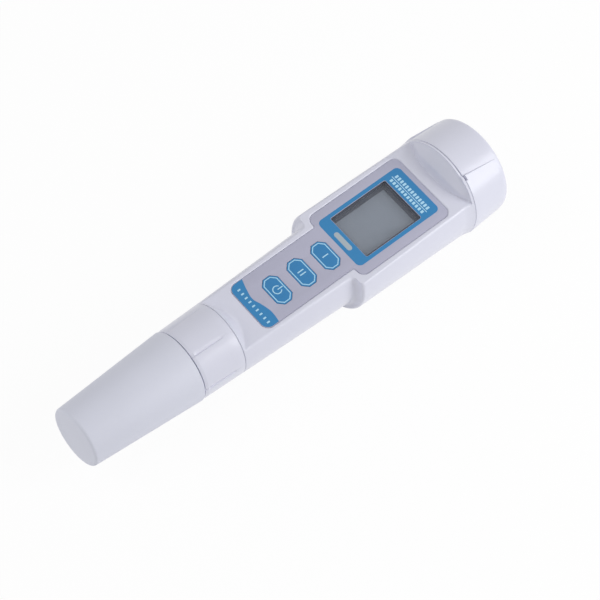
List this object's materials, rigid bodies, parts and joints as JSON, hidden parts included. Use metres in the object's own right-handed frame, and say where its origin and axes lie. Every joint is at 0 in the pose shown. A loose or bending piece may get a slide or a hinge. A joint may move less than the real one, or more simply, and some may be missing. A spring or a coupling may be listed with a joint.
{
  "type": "water quality tester",
  "caption": "Pocket water tester: round barrel with flat display face, keys, screw-on battery cap, locking ring, plug-in probe module and pull-off protective cap.",
  "frame": {"origin": "centre of the bounding box in plan, at its lowest point, with the tester lying on its back", "axes": "+X along the barrel from the protective cap to the battery cap, +Y to the left of a reader who has the probe towards them, +Z out of the display"},
  "size_m": [0.1812, 0.0404, 0.0377],
  "materials": {
    "shell_plastic": "smooth gloss",
    "label_film": "satin film",
    "clear_window": "clear polished",
    "bezel_plastic": "satin",
    "lcd_panel": "satin glass",
    "white_film": "matte",
    "grey_rubber": "matte",
    "board_laminate": "solder mask",
    "black_epoxy": "moulded",
    "steel": "turned",
    "inner_plastic": "moulded",
    "seal_rubber": "moulded",
    "cell_steel": "polished",
    "spring_metal": "stamped",
    "trimmer_blue": "moulded",
    "brass": "plated",
    "sponge_foam": "open-cell foam",
    "probe_plastic": "moulded",
    "sensor_glass": "clear blown",
    "key_blue": "printed satin film",
    "stem_plastic": "moulded"
  },
  "bodies": {
    "barrel": {"barrel_housing": "shell_plastic", "front_label": "label_film", "display_lens": "clear_window", "lcd_bezel": "bezel_plastic", "lcd_glass": "lcd_panel", "lcd_reflector": "white_film", "contact_strips": "grey_rubber", "main_board": "board_laminate", "controller_chip": "black_epoxy", "tact_switches": "black_epoxy", "board_screws": "steel", "inner_chassis": "inner_plastic", "probe_socket": "black_epoxy", "neck_sleeve": "inner_plastic", "neck_seal": "seal_rubber", "battery_holder": "inner_plastic", "button_cells": "cell_steel", "cell_springs": "spring_metal", "calibration_board": "board_laminate", "trimmer_bodies": "trimmer_blue"},
    "cap_contact": {"cap_contact_disc": "spring_metal", "cap_pressure_pad": "seal_rubber"},
    "battery_cap": {"battery_cap": "shell_plastic"},
    "probe_module": {"module_housing": "probe_plastic", "cap_seat_sleeve": "probe_plastic", "cap_seal": "seal_rubber", "plug_seal": "seal_rubber", "contact_pins": "brass", "probe_guard": "probe_plastic", "ph_glass": "sensor_glass", "temperature_tube": "steel", "conductivity_pins": "steel", "reference_junction": "white_film"},
    "lock_ring": {"lock_ring": "shell_plastic"},
    "protective_cap": {"protective_cap": "shell_plastic", "storage_sponge": "sponge_foam"},
    "power_button": {"power_key": "key_blue", "power_switch_stem": "stem_plastic"},
    "mode_button": {"mode_key": "key_blue", "mode_switch_stem": "stem_plastic"},
    "unit_button": {"unit_key": "key_blue", "unit_switch_stem": "stem_plastic"},
    "left_trimmer": {"left_trimmer_rotor": "brass"},
    "right_trimmer": {"right_trimmer_rotor": "brass"}
  },
  "joints": [
    {"name": "cap_lift", "type": "slide", "parent": "barrel", "child": "cap_contact", "axis": [1, 0, 0], "range_m": [0, 0.006]},
    {"name": "cap_turn", "type": "hinge", "parent": "cap_contact", "child": "battery_cap", "pos_m": [0.07938, 0, 0.0184], "axis": [1, 0, 0], "range_deg": [0, 1080.1]},
    {"name": "probe_draw", "type": "slide", "parent": "barrel", "child": "probe_module", "axis": [-1, 0, 0], "range_m": [0, 0.0045]},
    {"name": "ring_turn", "type": "hinge", "parent": "probe_module", "child": "lock_ring", "pos_m": [-0.03762, 0, 0.01675], "axis": [-1, 0, 0], "range_deg": [0, 1080.1]},
    {"name": "cap_pull", "type": "slide", "parent": "probe_module", "child": "protective_cap", "axis": [-1, 0, 0], "range_m": [0, 0.05]},
    {"name": "power_press", "type": "slide", "parent": "barrel", "child": "power_button", "axis": [0.0419, 0, -0.9991], "range_m": [0, 0.0004], "stiffness_N_per_m": 2500},
    {"name": "mode_press", "type": "slide", "parent": "barrel", "child": "mode_button", "axis": [0.0419, 0, -0.9991], "range_m": [0, 0.0004], "stiffness_N_per_m": 2500},
    {"name": "unit_press", "type": "slide", "parent": "barrel", "child": "unit_button", "axis": [0.0419, 0, -0.9991], "range_m": [0, 0.0004], "stiffness_N_per_m": 2500},
    {"name": "left_trim", "type": "hinge", "parent": "barrel", "child": "left_trimmer", "pos_m": [0.06738, 0.0039, 0.0088], "axis": [1, 0, 0], "range_deg": [-135, 135]},
    {"name": "right_trim", "type": "hinge", "parent": "barrel", "child": "right_trimmer", "pos_m": [0.06738, -0.0039, 0.0088], "axis": [1, 0, 0], "range_deg": [-135, 135]}
  ],
  "couplings": [
    {"joint": "cap_turn", "follows": "cap_lift", "rad_per_m": 3141.6},
    {"joint": "ring_turn", "follows": "probe_draw", "rad_per_m": 4188.8}
  ]
}
